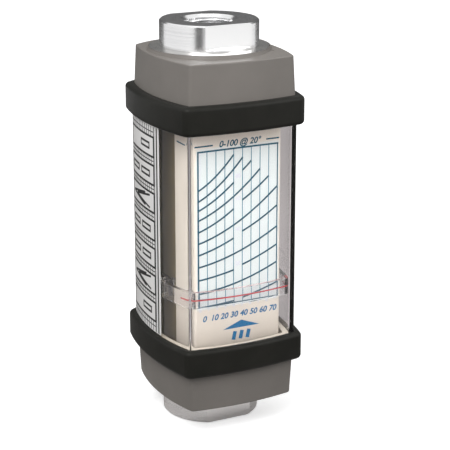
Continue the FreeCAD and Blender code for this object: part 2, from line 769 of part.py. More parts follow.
def add_hub_and_ribs(body, name):
    foot = "(port_standout + core_floor / 2)"
    height = "%s - %s" % (RIB_TOP, foot)
    hub = level_sketch(body, name + "_hub", foot)
    draw_circle(hub, "casing_radius + hub_wall")
    pad(body, hub, height)
    ribs = level_sketch(body, name + "_ribs", foot)
    wall = "-(%s - core_inset / 2)" % OUTLINE_FRONT
    hub_side = "-sqrt((casing_radius + hub_wall / 2)^2 - (rib_spacing + rib_thickness / 2)^2)"
    for side in ("-", ""):
        outer = "%s(rib_spacing + rib_thickness / 2)" % side
        inner = "%s(rib_spacing - rib_thickness / 2)" % side
        draw_polygon(ribs, rectangle(outer, inner, wall, hub_side))
    pad(body, ribs, height)


def cut_seal_groove(body, name):
    middle = "(port_standout + body_seal_height)"
    low = middle + " - body_groove_width / 2"
    high = middle + " + body_groove_width / 2"
    turn_groove(body, name + "_seal_groove", [
        ("casing_radius", low),
        (SEAL_GROOVE_RADIUS, low),
        (SEAL_GROOVE_RADIUS, high),
        ("casing_radius", high),
    ])


def make_body_seals():
    section = "body_groove_depth / 2 - body_seal_play"
    middle = "casing_radius + body_groove_depth / 2"
    height = "(port_standout + body_seal_height)"
    make_torus("lower_body_seal", middle, section, height)
    make_torus("upper_body_seal", middle, section, from_top(height))


def make_band(name):
    body = new_body(name)
    outer = level_sketch(body, name + "_outside", BAND_START)
    draw_outline(outer, "-band_thickness")
    pad(body, outer, "band_height")
    round_edges(body, name + "_corners", "band_corner_radius", upright)
    round_edges(body, name + "_edges", "band_edge_radius",
                lambda edge: at_level(BAND_START)(edge) or at_level(BAND_END)(edge))
    window = level_sketch(body, name + "_window_seat", JOINT)
    draw_outline(window, "-band_fit")
    pocket(body, window, "band_height")
    cap = level_sketch(body, name + "_cap_seat", JOINT)
    draw_outline(cap, "cap_joint_inset - band_fit")
    pocket(body, cap, "band_height - band_overlap", down=True, taper=CAP_TAPER)
    return body


def make_gasket(name):
    body = new_body(name)
    sketch = level_sketch(body, name + "_outline", JOINT)
    draw_outline(sketch, "gasket_inset")
    pad(body, sketch, "gasket_thickness")
    round_edges(body, name + "_corners", "cap_corner_radius", upright)
    inside = level_sketch(body, name + "_inside", JOINT)
    draw_outline(inside, "gasket_inset + gasket_width")
    pocket(body, inside, "gasket_thickness")
    return body


def make_window():
    body = new_body("window")
    foot = "(%s + gasket_thickness)" % JOINT
    height = "(overall_length - 2 * %s)" % foot
    outside = level_sketch(body, "window_outside", foot)
    draw_outline(outside, "0")
    pad(body, outside, height)
    round_edges(body, "window_corners", "window_corner_radius", upright)
    inside = level_sketch(body, "window_inside", foot)
    draw_outline(inside, "window_wall")
    pocket(body, inside, height)
    round_edges(body, "window_inner_corners", "window_inner_corner", corners_of("window_wall"))


def make_label():
    body = new_body("wrap_label")
    foot = "(%s + label_margin)" % BAND_END
    height = "(overall_length - 2 * %s)" % foot
    sketch = level_sketch(body, "wrap_label_outline", foot)
    inner = "-label_fit"
    outer = "-label_fit - label_thickness"
    draw_outline_band(sketch, outer, inner, "-label_front", "back")
    pad(body, sketch, height)
    round_edges(body, "wrap_label_inner_corners", "window_corner_radius", corners_of(inner))
    round_edges(body, "wrap_label_outer_corners", "window_corner_radius + label_thickness",
                corners_of(outer))


# Scale: a white channel between the caps, and the printed card on its outside


def make_channel(name, half_width, front, thickness, foot, height, fold):
    body = new_body(name)
    sketch = level_sketch(body, name + "_outline", foot)
    inner = "(%s - %s)" % (half_width, thickness)
    inner_front = "-(%s - %s)" % (front, thickness)
    wing_end = "-" + WING_END
    draw_polygon(sketch, [
        ("-" + half_width, "-" + front),
        (half_width, "-" + front),
        (half_width, wing_end),
        (inner, wing_end),
        (inner, inner_front),
        ("-" + inner, inner_front),
        ("-" + inner, wing_end),
        ("-" + half_width, wing_end),
    ])
    pad(body, sketch, height)
    inner_fold = "max(%s - %s; %s / 4)" % (fold, thickness, thickness)
    round_edges(body, name + "_folds", fold, on_plane("-" + front))
    round_edges(body, name + "_inner_folds", inner_fold, on_plane(inner_front))


def make_scale():
    card_foot = "(%s + card_margin)" % RIB_TOP
    make_channel("scale_card", SCALE_HALF_WIDTH, SCALE_FRONT, "card_thickness", card_foot,
                 "overall_length - 2 * %s" % card_foot, "fold_radius")
    back = "(card_thickness + card_fit)"
    support_half_width = "(%s - %s)" % (SCALE_HALF_WIDTH, back)
    support_front = "(%s - %s)" % (SCALE_FRONT, back)
    make_channel("scale_support", support_half_width, support_front, "support_thickness", RIB_TOP,
                 "overall_length - 2 * %s" % RIB_TOP, "(fold_radius - %s)" % back)


# Follower: a clear wall behind the window, joined by webs to a ring round the casing


def make_follower():
    body = new_body("follower_ring")
    wall = level_sketch(body, "follower_wall_outline", FOLLOWER_FOOT)
    draw_cut_outline(wall, FOLLOWER_INSET, "-" + WEB_REAR)
    pad(body, wall, "follower_height")
    round_edges(body, "follower_corners", "follower_corner_radius", corners_of(FOLLOWER_INSET))
    inside = level_sketch(body, "follower_inside", FOLLOWER_FOOT)
    draw_cut_outline(inside, FOLLOWER_INSET + " + follower_wall", "-" + WEB_FRONT)
    pocket(body, inside, "follower_height")
    ring = level_sketch(body, "follower_ring_outline", FOLLOWER_FOOT)
    draw_circle(ring, FOLLOWER_BORE + " + follower_ring_wall")
    pad(body, ring, "follower_height")
    bore = level_sketch(body, "follower_bore", FOLLOWER_FOOT)
    draw_circle(bore, FOLLOWER_BORE)
    pocket(body, bore, "follower_height")
    cut_wing_slots(body)
    groove = level_sketch(body, "follower_line_groove", LINE_MIDDLE + " - line_width / 2")
    draw_outline_band(groove, FOLLOWER_INSET + " - follower_clearance / 2", FOLLOWER_INSET + " + line_depth",
                      "-line_end")
    pocket(body, groove, "line_width")
    seats = level_sketch(body, "follower_magnet_seats", FOLLOWER_FOOT)
    for side in ("-", ""):
        draw_circle(seats, "rod_magnet_radius + magnet_clearance", side + ROD_MAGNET_ACROSS,
                    "-(%s + %s) / 2" % (WEB_FRONT, WEB_REAR))
    pocket(body, seats, "line_height + rod_magnet_length / 2")


def cut_wing_slots(body):
    slots = level_sketch(body, "follower_wing_slots", FOLLOWER_FOOT)
    inner = "(%s - wing_clearance)" % SCALE_INSIDE
    outer = "(%s + wing_clearance)" % SCALE_HALF_WIDTH
    front = "-(%s + wing_clearance)" % SCALE_FRONT
    rear = "-(%s - wing_clearance)" % WING_END
    draw_polygon(slots, rectangle(inner, outer, front, rear))
    draw_polygon(slots, rectangle("-" + outer, "-" + inner, front, rear))
    pocket(body, slots, "follower_height")


def make_indicator_line():
    body = new_body("indicator_line")
    sketch = level_sketch(body, "indicator_line_outline", LINE_MIDDLE + " - line_width / 2 + line_play")
    outer = FOLLOWER_INSET + " + line_play"
    draw_outline_band(sketch, outer, FOLLOWER_INSET + " + line_depth - line_play", "-line_end")
    pad(body, sketch, "line_width - 2 * line_play")
    round_edges(body, "indicator_line_corners", "follower_corner_radius - line_play",
                corners_of(outer))


def make_follower_magnets():
    rods = []
    for side, name in (("-", "left_rod"), ("", "right_rod")):
        rod = doc.addObject("Part::Cylinder", name)
        rod.setExpression("Radius", sized("rod_magnet_radius"))
        rod.setExpression("Height", sized("rod_magnet_length"))
        rod.setExpression("Placement.Base.x", sized(side + ROD_MAGNET_ACROSS))
        rod.setExpression("Placement.Base.y", sized("-(%s + %s) / 2" % (WEB_FRONT, WEB_REAR)))
        rod.setExpression("Placement.Base.z", sized(LINE_MIDDLE + " - rod_magnet_length / 2"))
        rods.append(rod)
    pair = doc.addObject("Part::MultiFuse", "follower_magnets")
    pair.Label = "follower_magnets"
    pair.Shapes = rods


make_casing()
make_outlet_port()
make_port_seal()
make_spider("inlet_spider", "bore_radius - thread_clearance", BORE_START, "spider_thickness")
make_spider("outlet_spider", SCREW_RADIUS, BORE_END, "outlet_spider_thickness")
make_metering_cone()
make_cone_nut()
make_piston()
make_orifice_plate()
make_magnet()
make_return_spring()
make_retaining_ring("lower_retaining_ring")
turn_over(make_retaining_ring("upper_retaining_ring"))
make_end_cap("lower_end_cap")
turn_over(make_end_cap("upper_end_cap"))
make_body_seals()
make_band("lower_band")
turn_over(make_band("upper_band"))
make_gasket("lower_gasket")
turn_over(make_gasket("upper_gasket"))
make_window()
make_label()
make_scale()
make_follower()
make_indicator_line()
make_follower_magnets()
doc.recompute()

NODES = [
    "casing", "outlet_port", "port_seal", "inlet_spider", "outlet_spider", "metering_cone", "cone_nut",
    "return_spring", "lower_retaining_ring", "upper_retaining_ring", "piston", "orifice_plate",
    "transfer_magnet", "magnet_retainer", "lower_end_cap", "upper_end_cap", "lower_body_seal",
    "upper_body_seal", "lower_band", "upper_band", "lower_gasket", "upper_gasket", "window", "wrap_label",
    "scale_support", "scale_card", "follower_ring", "indicator_line", "follower_magnets",
]

for thing in doc.Objects:
    if "Invalid" in thing.State or "Error" in thing.State:
        raise RuntimeError("%s failed: %s" % (thing.Label, thing.State))

os.makedirs("parts", exist_ok=True)
for name in NODES:
    shape = doc.getObjectsByLabel(name)[0].Shape
    if shape.isNull() or not shape.isValid():
        raise RuntimeError("%s has no valid shape" % name)
    shape.exportStep("parts/%s.step" % name)
    print("%-22s %2d solid(s) %9.1f mm3" % (name, len(shape.Solids), shape.Volume))
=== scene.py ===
import json
import math

import bmesh
import bpy
from mathutils import Matrix, Vector


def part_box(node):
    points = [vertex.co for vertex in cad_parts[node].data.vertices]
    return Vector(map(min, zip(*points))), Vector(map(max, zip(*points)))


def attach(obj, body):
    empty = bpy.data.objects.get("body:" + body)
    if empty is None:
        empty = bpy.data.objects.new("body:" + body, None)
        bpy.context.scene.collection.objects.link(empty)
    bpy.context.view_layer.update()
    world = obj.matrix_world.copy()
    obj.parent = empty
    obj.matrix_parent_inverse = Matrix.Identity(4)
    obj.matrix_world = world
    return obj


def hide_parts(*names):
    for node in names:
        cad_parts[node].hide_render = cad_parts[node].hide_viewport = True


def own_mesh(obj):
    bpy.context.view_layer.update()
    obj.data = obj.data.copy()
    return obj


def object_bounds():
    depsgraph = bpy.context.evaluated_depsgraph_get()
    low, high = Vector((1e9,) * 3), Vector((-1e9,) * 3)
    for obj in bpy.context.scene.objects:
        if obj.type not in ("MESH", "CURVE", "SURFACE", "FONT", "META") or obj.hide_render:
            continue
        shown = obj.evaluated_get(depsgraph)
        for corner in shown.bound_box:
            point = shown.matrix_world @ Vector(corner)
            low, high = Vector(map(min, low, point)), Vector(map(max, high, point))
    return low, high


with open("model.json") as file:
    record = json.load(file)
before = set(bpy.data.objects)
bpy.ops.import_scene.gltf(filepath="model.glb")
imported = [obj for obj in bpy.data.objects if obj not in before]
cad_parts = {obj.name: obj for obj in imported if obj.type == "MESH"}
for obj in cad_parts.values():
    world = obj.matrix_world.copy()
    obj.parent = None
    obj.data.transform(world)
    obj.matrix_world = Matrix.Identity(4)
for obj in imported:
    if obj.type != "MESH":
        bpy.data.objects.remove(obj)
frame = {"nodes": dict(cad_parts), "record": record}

mm = 0.001
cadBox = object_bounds()

for spare in ("Cube", "Light", "Camera"):
    if spare in bpy.data.objects:
        bpy.data.objects.remove(bpy.data.objects[spare])

print("flow meter: frame loaded")


# Small helpers for node trees

def addNode(tree, kind, **settings):
    node = tree.nodes.new(kind)
    for setting, value in settings.items():
        setattr(node, setting, value)
    return node


def plug(tree, source, socket):  # a link where the source is a socket, else a plain value
    if isinstance(source, bpy.types.NodeSocket):
        tree.links.new(source, socket)
    else:
        socket.default_value = source


def feed(tree, node, **sources):
    for name, source in sources.items():
        plug(tree, source, node.inputs[name.replace("_", " ")])
    return node


def doMath(tree, operation, first, second=0.0):
    node = addNode(tree, "ShaderNodeMath", operation=operation)
    for socket, source in zip(node.inputs, (first, second)):
        plug(tree, source, socket)
    return node.outputs[0]


def spread(tree, value, low, high, toLow=0.0, toHigh=1.0, smooth=False):
    shape = "SMOOTHSTEP" if smooth else "LINEAR"
    node = addNode(tree, "ShaderNodeMapRange", interpolation_type=shape)
    for socket, source in zip(node.inputs, (value, low, high, toLow, toHigh)):
        plug(tree, source, socket)
    return node.outputs[0]


def mixTones(tree, factor, first, second):
    node = addNode(tree, "ShaderNodeMix", data_type="RGBA")
    for index, source in ((0, factor), (6, first), (7, second)):  # the sockets for colours
        plug(tree, source, node.inputs[index])
    return node.outputs[2]


def splitPlace(tree, place):
    parts = addNode(tree, "ShaderNodeSeparateXYZ")
    feed(tree, parts, Vector=place)
    return parts.outputs


def tone(red, green, blue):
    return (red, green, blue, 1.0)


# Effects that several finishes share

noiseSpan = (0.3, 0.7)  # where nearly all of a noise texture's values lie
effects = {
    "bandScale": 900.0,
    "scuffTurn": (0.5, 0.3, 0.9), "scuffStretch": (1.0, 0.12, 1.0), "scuffEdge": 0.08,
}


def startGroup(name, inputs, outputs):
    group = bpy.data.node_groups.new(name, "ShaderNodeTree")
    for label, kind, value in inputs:
        socket = group.interface.new_socket(label, in_out="INPUT", socket_type=kind)
        if value is not None:
            socket.default_value = value
    for label in outputs:
        group.interface.new_socket(label, in_out="OUTPUT", socket_type="NodeSocketFloat")
    return group, addNode(group, "NodeGroupInput"), addNode(group, "NodeGroupOutput")


def makeGrain():  # fine speckle and slow mottling
    group, given, result = startGroup("grain", [
        ("Place", "NodeSocketVector", None),
        ("Fine", "NodeSocketFloat", 2500.0),
        ("Coarse", "NodeSocketFloat", 120.0),
    ], ["Speckle", "Mottle"])
    place = given.outputs["Place"]
    fine = addNode(group, "ShaderNodeTexNoise")
    feed(group, fine, Vector=place, Scale=given.outputs["Fine"], Detail=4.0, Roughness=0.6)
    coarse = addNode(group, "ShaderNodeTexNoise")
    feed(group, coarse, Vector=place, Scale=given.outputs["Coarse"], Detail=3.0, Roughness=0.5)
    mottle = spread(group, coarse.outputs[0], *noiseSpan)
    feed(group, result, Speckle=fine.outputs[0], Mottle=mottle)
    return group


def makeTurning():  # grooves a lathe leaves, round the axis on walls and faces alike
    group, given, result = startGroup("turning", [
        ("Place", "NodeSocketVector", None),
        ("Pitch", "NodeSocketFloat", 0.0004),
    ], ["Groove", "Band"])
    across, along, height = splitPlace(group, given.outputs["Place"])
    squares = [doMath(group, "POWER", part, 2.0) for part in (across, along)]
    reach = doMath(group, "SQRT", doMath(group, "ADD", *squares))
    travel = doMath(group, "ADD", reach, height)
    turns = doMath(group, "DIVIDE", travel, given.outputs["Pitch"])
    wave = doMath(group, "SINE", doMath(group, "MULTIPLY", turns, math.tau))
    line = addNode(group, "ShaderNodeCombineXYZ")
    feed(group, line, X=doMath(group, "MULTIPLY", travel, effects["bandScale"]))
    band = addNode(group, "ShaderNodeTexNoise")
    feed(group, band, Vector=line.outputs[0], Scale=1.0, Detail=4.0, Roughness=0.7)
    feed(group, result, Groove=spread(group, wave, -1.0, 1.0))
    feed(group, result, Band=spread(group, band.outputs[0], *noiseSpan))
    return group


def makeScuffs():  # short thin handling marks
    group, given, result = startGroup("scuffs", [
        ("Place", "NodeSocketVector", None),
        ("Size", "NodeSocketFloat", 400.0),
        ("Rarity", "NodeSocketFloat", 0.68),
    ], ["Mark"])
    stretch = addNode(group, "ShaderNodeMapping")
    feed(group, stretch, Vector=given.outputs["Place"])
    feed(group, stretch, Rotation=effects["scuffTurn"], Scale=effects["scuffStretch"])
    noise = addNode(group, "ShaderNodeTexNoise")
    feed(group, noise, Vector=stretch.outputs[0], Scale=given.outputs["Size"])
    feed(group, noise, Detail=5.0, Roughness=0.75)
    rarity = given.outputs["Rarity"]
    high = doMath(group, "ADD", rarity, effects["scuffEdge"])
    feed(group, result, Mark=spread(group, noise.outputs[0], rarity, high))
    return group


grain = makeGrain()
turning = makeTurning()
scuffs = makeScuffs()


def useGroup(tree, group, place, **values):
    node = addNode(tree, "ShaderNodeGroup", node_tree=group)
    return feed(tree, node, Place=place, **values)


def startFinish(name):
    material = bpy.data.materials.new(name)
    material.use_nodes = True
    tree = material.node_tree
    place = addNode(tree, "ShaderNodeTexCoord").outputs["Object"]
    return material, tree, tree.nodes["Principled BSDF"], place


def raiseBump(tree, surface, height, distance, strength):
    bump = addNode(tree, "ShaderNodeBump")
    feed(tree, bump, Height=height, Distance=distance, Strength=strength)
    feed(tree, surface, Normal=bump.outputs[0])


# Metals. The numbers that all of them share come first, and then each kind of finish.

metalWork = {
    "flatFacing": 0.998, "bandRoughness": 0.12, "windowShadeEdge": 2 * mm, "grooveBump": 0.6,
    "smoother": 0.05, "rougher": 0.08, "speckleBump": 0.5,
}


def turnedFinish(name, look):
    material, tree, surface, place = startFinish(name)
    lathe = useGroup(tree, turning, place, Pitch=look["pitch"])
    marks = useGroup(tree, scuffs, place, Size=look["scuffSize"], Rarity=look["scuffRarity"])
    band = lathe.outputs["Band"]
    groove = lathe.outputs["Groove"]
    parts = splitPlace(tree, place)
    if "flatReach" in look:  # milled flats carry no turning marks
        facing = splitPlace(tree, addNode(tree, "ShaderNodeTexCoord").outputs["Normal"])
        straight = doMath(tree, "ABSOLUTE", facing[1])
        square = doMath(tree, "GREATER_THAN", straight, metalWork["flatFacing"])
        reach = doMath(tree, "ABSOLUTE", parts[1])
        outside = doMath(tree, "GREATER_THAN", reach, look["flatReach"])
        turned = doMath(tree, "SUBTRACT", 1.0, doMath(tree, "MULTIPLY", square, outside))
        band = doMath(tree, "MULTIPLY", band, turned)
        groove = doMath(tree, "MULTIPLY", groove, turned)
    bright = mixTones(tree, band, look["tone"], look["shade"])
    smoothest = look["roughness"]
    rough = spread(tree, band, 0.0, 1.0, smoothest, smoothest + metalWork["bandRoughness"])
    if "windowShadeFrom" in look:  # painted shade: the stretch behind the window is coloured dark olive for the shade and dark surroundings it shows, and made rougher
        foot, head, edge = look["windowShadeFrom"], look["windowShadeTo"], metalWork["windowShadeEdge"]
        rise = spread(tree, parts[2], foot - edge, foot, smooth=True)
        fall = spread(tree, parts[2], head, head + edge, 1.0, 0.0, smooth=True)
        windowShade = doMath(tree, "MULTIPLY", rise, fall)
        bright = mixTones(tree, windowShade, bright, look["windowShadeTone"])
        rough = doMath(tree, "ADD", rough, doMath(tree, "MULTIPLY", windowShade, look["windowShadeRoughness"]))
    colour = mixTones(tree, marks.outputs["Mark"], bright, look["scuffTone"])
    feed(tree, surface, Base_Color=colour, Metallic=1.0, Roughness=rough)
    raiseBump(tree, surface, groove, look["depth"], metalWork["grooveBump"])
    return material


def plainMetal(name, look):
    material, tree, surface, place = startFinish(name)
    speck = useGroup(tree, grain, place, Fine=look["fine"], Coarse=look["coarse"])
    colour = mixTones(tree, speck.outputs["Mottle"], look["tone"], look["shade"])
    low = look["roughness"] - metalWork["smoother"]
    high = look["roughness"] + metalWork["rougher"]
    rough = spread(tree, speck.outputs["Speckle"], *noiseSpan, low, high)
    feed(tree, surface, Base_Color=colour, Metallic=1.0, Roughness=rough)
    raiseBump(tree, surface, speck.outputs["Speckle"], look["depth"], metalWork["speckleBump"])
    return material


# Plastics, rubber, paper and ink

softWork = {
    "roughnessSpan": 0.06, "bump": 0.5, "coatRoughness": 0.1,
    "clearRoughness": 0.02, "clearScuff": 0.12, "clearBump": 0.3,
    "tintSideEdge": 1.2 * mm, "tintEndEdge": 1.5 * mm,
    "cardRoughness": (0.42, 0.54), "cardBump": 0.3,
    "inkRoughness": (0.35, 0.5), "inkBump": 0.2,
}


def mouldedFinish(name, look):
    material, tree, surface, place = startFinish(name)
    speck = useGroup(tree, grain, place, Fine=look["fine"], Coarse=look["coarse"])
    marks = useGroup(tree, scuffs, place, Size=look["scuffSize"], Rarity=look["scuffRarity"])
    ground = mixTones(tree, speck.outputs["Mottle"], look["tone"], look["shade"])
    if "hubReflectionTone" in look:  # painted reflection: the rims inside the window are coloured pale beige
        height = splitPlace(tree, place)[2]
        lower = doMath(tree, "GREATER_THAN", height, look["hubReflectionFrom"])
        upper = doMath(tree, "LESS_THAN", height, look["hubReflectionTo"])
        ground = mixTones(tree, doMath(tree, "MULTIPLY", lower, upper), ground, look["hubReflectionTone"])
    colour = mixTones(tree, marks.outputs["Mark"], ground, look["scuffTone"])
    low = look["roughness"] - softWork["roughnessSpan"]
    high = look["roughness"] + softWork["roughnessSpan"]
    rough = spread(tree, speck.outputs["Speckle"], *noiseSpan, low, high)
    feed(tree, surface, Base_Color=colour, Roughness=rough)
    surface.inputs["Specular IOR Level"].default_value = look["specular"]
    surface.inputs["Sheen Weight"].default_value = look.get("sheen", 0.0)
    surface.inputs["Coat Weight"].default_value = look.get("coat", 0.0)
    coatRoughness = look.get("coatRoughness", softWork["coatRoughness"])
    surface.inputs["Coat Roughness"].default_value = coatRoughness
    raiseBump(tree, surface, speck.outputs["Speckle"], look["depth"], softWork["bump"])
    return material


def clearFinish(name, look):
    material, tree, surface, place = startFinish(name)
    speck = useGroup(tree, grain, place, Fine=look["fine"], Coarse=look["coarse"])
    marks = useGroup(tree, scuffs, place, Size=look["scuffSize"], Rarity=look["scuffRarity"])
    clearest = look["roughness"]
    haziest = clearest + softWork["clearRoughness"]
    haze = spread(tree, speck.outputs["Mottle"], 0.0, 1.0, clearest, haziest)
    scuffed = doMath(tree, "MULTIPLY", marks.outputs["Mark"], softWork["clearScuff"])
    rough = doMath(tree, "ADD", haze, scuffed)
    colour = mixTones(tree, speck.outputs["Mottle"], look["tone"], look["shade"])
    feed(tree, surface, Base_Color=colour, Roughness=rough)
    surface.inputs["Transmission Weight"].default_value = 1.0
    surface.inputs["IOR"].default_value = look["ior"]
    raiseBump(tree, surface, speck.outputs["Mottle"], look["depth"], softWork["clearBump"])
    # lamps reach what is behind the clear plastic
    letThrough = addNode(tree, "ShaderNodeBsdfTransparent")
    letThrough.inputs[0].default_value = look["shadowTone"]
    path = addNode(tree, "ShaderNodeLightPath")
    mixed = addNode(tree, "ShaderNodeMixShader")
    tree.links.new(path.outputs["Is Shadow Ray"], mixed.inputs[0])
    tree.links.new(surface.outputs[0], mixed.inputs[1])
    tree.links.new(letThrough.outputs[0], mixed.inputs[2])
    tree.links.new(mixed.outputs[0], tree.nodes["Material Output"].inputs[0])
    return material


def cardFinish(name, look):  # warm white card, a cooler tint under the printed grid
    material, tree, surface, place = startFinish(name)
    speck = useGroup(tree, grain, place, Fine=look["fine"], Coarse=look["coarse"])
    side, _, height = splitPlace(tree, place)
    aside = doMath(tree, "ABSOLUTE", side)
    reach, foot, head = look["tintReach"], look["tintFrom"], look["tintTo"]
    edge = softWork["tintEndEdge"]
    across = spread(tree, aside, reach, reach + softWork["tintSideEdge"], 1.0, 0.0, smooth=True)
    above = spread(tree, height, foot - edge, foot, smooth=True)
    below = spread(tree, height, head, head + edge, 1.0, 0.0, smooth=True)
    along = doMath(tree, "MULTIPLY", above, below)
    tinted = doMath(tree, "MULTIPLY", doMath(tree, "MULTIPLY", across, along), look["tintShare"])
    ground = mixTones(tree, speck.outputs["Mottle"], look["tone"], look["shade"])
    # painted shade: the card darkens towards its foot
    low = spread(tree, height, look["footShadeFrom"], look["footShadeTo"], 1.0, 0.0, smooth=True)
    ground = mixTones(tree, low, ground, look["footShadeTone"])
    rough = spread(tree, speck.outputs["Speckle"], *noiseSpan, *softWork["cardRoughness"])
    feed(tree, surface, Base_Color=mixTones(tree, tinted, ground, look["tint"]), Roughness=rough)
    raiseBump(tree, surface, speck.outputs["Speckle"], look["depth"], softWork["cardBump"])
    return material


def inkFinish(name, look):
    material, tree, surface, place = startFinish(name)
    speck = useGroup(tree, grain, place, Fine=look["fine"], Coarse=look["coarse"])
    colour = mixTones(tree, speck.outputs["Mottle"], look["tone"], look["shade"])
    rough = spread(tree, speck.outputs["Speckle"], *noiseSpan, *softWork["inkRoughness"])
    feed(tree, surface, Base_Color=colour, Roughness=rough)
    surface.inputs["Specular IOR Level"].default_value = look["specular"]
    raiseBump(tree, surface, speck.outputs["Speckle"], look["depth"], softWork["inkBump"])
    return material


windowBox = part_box("window")

metalLook = {
    "casing": {
        "tone": tone(0.86, 0.86, 0.87), "shade": tone(0.72, 0.72, 0.73), "roughness": 0.2,
        "pitch": 0.45 * mm, "depth": 0.001 * mm, "scuffSize": 260.0, "scuffRarity": 0.8,
        "scuffTone": tone(0.6, 0.6, 0.6), "windowShadeFrom": windowBox[0].z, "windowShadeTo": windowBox[1].z,
        "windowShadeTone": tone(0.34, 0.28, 0.17), "windowShadeRoughness": 0.28, "flatReach": 17.3 * mm,
    },
    "port": {
        "tone": tone(0.9, 0.9, 0.9), "shade": tone(0.76, 0.76, 0.77), "roughness": 0.16,
        "pitch": 0.5 * mm, "depth": 0.004 * mm, "scuffSize": 260.0, "scuffRarity": 0.79,
        "scuffTone": tone(0.65, 0.65, 0.65), "flatReach": 17.3 * mm,
    },
    "inner": {
        "tone": tone(0.78, 0.78, 0.79), "shade": tone(0.62, 0.62, 0.63), "roughness": 0.32,
        "pitch": 0.6 * mm, "depth": 0.01 * mm, "scuffSize": 300.0, "scuffRarity": 0.72,
        "scuffTone": tone(0.5, 0.5, 0.5),
    },
    "stainless": {
        "tone": tone(0.66, 0.65, 0.63), "shade": tone(0.5, 0.5, 0.49), "roughness": 0.24,
        "fine": 3000.0, "coarse": 200.0, "depth": 0.01 * mm,
    },
    "ringSteel": {
        "tone": tone(0.6, 0.59, 0.57), "shade": tone(0.5, 0.495, 0.485), "roughness": 0.3,
        "fine": 2600.0, "coarse": 160.0, "depth": 0.003 * mm,
    },
    "magnet": {
        "tone": tone(0.09, 0.09, 0.1), "shade": tone(0.05, 0.05, 0.055), "roughness": 0.42,
        "fine": 2200.0, "coarse": 300.0, "depth": 0.02 * mm,
    },
}

softLook = {
    "cap": {
        "tone": tone(0.18, 0.165, 0.151), "shade": tone(0.16, 0.147, 0.134), "roughness": 0.5,
        "specular": 0.4, "fine": 2600.0, "coarse": 55.0, "depth": 0.04 * mm, "scuffSize": 330.0,
        "scuffRarity": 0.71, "scuffTone": tone(0.26, 0.245, 0.225), "hubReflectionTone": tone(0.5, 0.45, 0.4),
        "hubReflectionFrom": windowBox[0].z + 0.1 * mm, "hubReflectionTo": windowBox[1].z - 0.1 * mm,
    },
    "band": {
        "tone": tone(0.013, 0.013, 0.011), "shade": tone(0.018, 0.0175, 0.015), "roughness": 0.42,
        "specular": 0.1, "fine": 1900.0, "coarse": 90.0, "depth": 0.05 * mm, "scuffSize": 380.0,
        "scuffRarity": 0.73, "scuffTone": tone(0.035, 0.035, 0.03), "sheen": 0.02,
    },
    "seal": {
        "tone": tone(0.018, 0.018, 0.018), "shade": tone(0.026, 0.026, 0.026), "roughness": 0.4,
        "specular": 0.5, "fine": 2400.0, "coarse": 200.0, "depth": 0.02 * mm, "scuffSize": 500.0,
        "scuffRarity": 0.75, "scuffTone": tone(0.05, 0.05, 0.05),
    },
    "label": {
        "tone": tone(0.94, 0.925, 0.915), "shade": tone(0.91, 0.895, 0.885), "roughness": 0.34,
        "specular": 0.5, "fine": 3200.0, "coarse": 60.0, "depth": 0.006 * mm, "scuffSize": 300.0,
        "scuffRarity": 0.76, "scuffTone": tone(0.68, 0.67, 0.66), "coat": 0.25,
        "coatRoughness": 0.12,
    },
    "support": {
        "tone": tone(0.9, 0.83, 0.755), "shade": tone(0.86, 0.79, 0.715), "roughness": 0.45,
        "specular": 0.45, "fine": 2600.0, "coarse": 90.0, "depth": 0.015 * mm, "scuffSize": 300.0,
        "scuffRarity": 0.74, "scuffTone": tone(0.62, 0.6, 0.58),
    },
    "red": {
        "tone": tone(0.42, 0.015, 0.025), "shade": tone(0.36, 0.01, 0.018), "roughness": 0.35,
        "specular": 0.5, "fine": 2600.0, "coarse": 200.0, "depth": 0.006 * mm, "scuffSize": 500.0,
        "scuffRarity": 0.78, "scuffTone": tone(0.8, 0.12, 0.12),
    },
}

clearLook = {
    "window": {
        "tone": tone(0.985, 0.985, 0.975), "shade": tone(0.97, 0.975, 0.96), "ior": 1.49,
        "roughness": 0.01, "fine": 1500.0, "coarse": 25.0, "depth": 0.004 * mm,
        "scuffSize": 260.0, "scuffRarity": 0.78, "shadowTone": tone(0.98, 0.98, 0.965),
    },
    "follower": {
        "tone": tone(0.97, 0.965, 0.975), "shade": tone(0.95, 0.945, 0.955), "ior": 1.49,
        "roughness": 0.03, "fine": 1500.0, "coarse": 60.0, "depth": 0.03 * mm,
        "scuffSize": 300.0, "scuffRarity": 0.74, "shadowTone": tone(0.9, 0.89, 0.9),
    },
}

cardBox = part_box("scale_card")
cardLook = {
    "tone": tone(0.72, 0.655, 0.59), "shade": tone(0.69, 0.625, 0.56),
    "footShadeTone": tone(0.42, 0.37, 0.33), "footShadeFrom": 31 * mm, "footShadeTo": 58 * mm,
    "tint": tone(0.64, 0.7, 0.73), "tintShare": 0.85, "tintReach": 17.8 * mm,
    "tintFrom": 55 * mm, "tintTo": 120.4 * mm, "fine": 3000.0, "coarse": 70.0, "depth": 0.006 * mm,
}

inkLook = {
    "teal": {"tone": tone(0.001, 0.066, 0.115), "shade": tone(0.002, 0.08, 0.135)},
    "rule": {"tone": tone(0.015, 0.16, 0.24), "shade": tone(0.025, 0.19, 0.28)},
    "blue": {"tone": tone(0.0, 0.108, 0.265), "shade": tone(0.001, 0.12, 0.29)},
    "faint": {"tone": tone(0.58, 0.58, 0.68), "shade": tone(0.66, 0.66, 0.74)},
    "black": {"tone": tone(0.014, 0.014, 0.014), "shade": tone(0.03, 0.03, 0.03)},
}
for ink in inkLook.values():
    ink.update({"fine": 3000.0, "coarse": 700.0, "depth": 0.004 * mm, "specular": 0.15})

